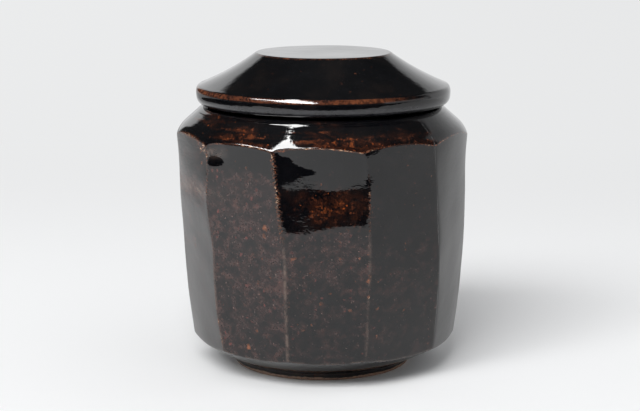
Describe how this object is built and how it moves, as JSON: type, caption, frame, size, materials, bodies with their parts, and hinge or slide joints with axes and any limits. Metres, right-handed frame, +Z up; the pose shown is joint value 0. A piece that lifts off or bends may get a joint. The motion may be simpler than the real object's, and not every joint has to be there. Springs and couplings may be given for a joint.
{
  "type": "lidded jar",
  "caption": "Faceted stoneware jar with a round shoulder, turned foot and a lift-off cone lid whose flange drops into the mouth.",
  "frame": {"origin": "centre of the foot's resting face, on the surface that the jar stands on", "axes": "+Z up the jar's axis towards the lid, -Y the front face shown in the picture, +X to the right as seen from the front"},
  "size_m": [0.1093, 0.1089, 0.1185],
  "materials": {
    "jar_glaze": "glossy near-black iron glaze that breaks rust brown on the ridges, with orange-brown specks and a thin line of bare brown clay at the foot",
    "lid_glaze": "glossy near-black iron glaze that breaks rust brown on the rim and on the edge of the flat top"
  },
  "bodies": {
    "jar": {"jar": "jar_glaze"},
    "lid": {"lid": "lid_glaze"}
  },
  "joints": [
    {"name": "lid_lift", "type": "slide", "parent": "jar", "child": "lid", "axis": [0, 0, 1], "range_m": [0, 0.05]}
  ]
}
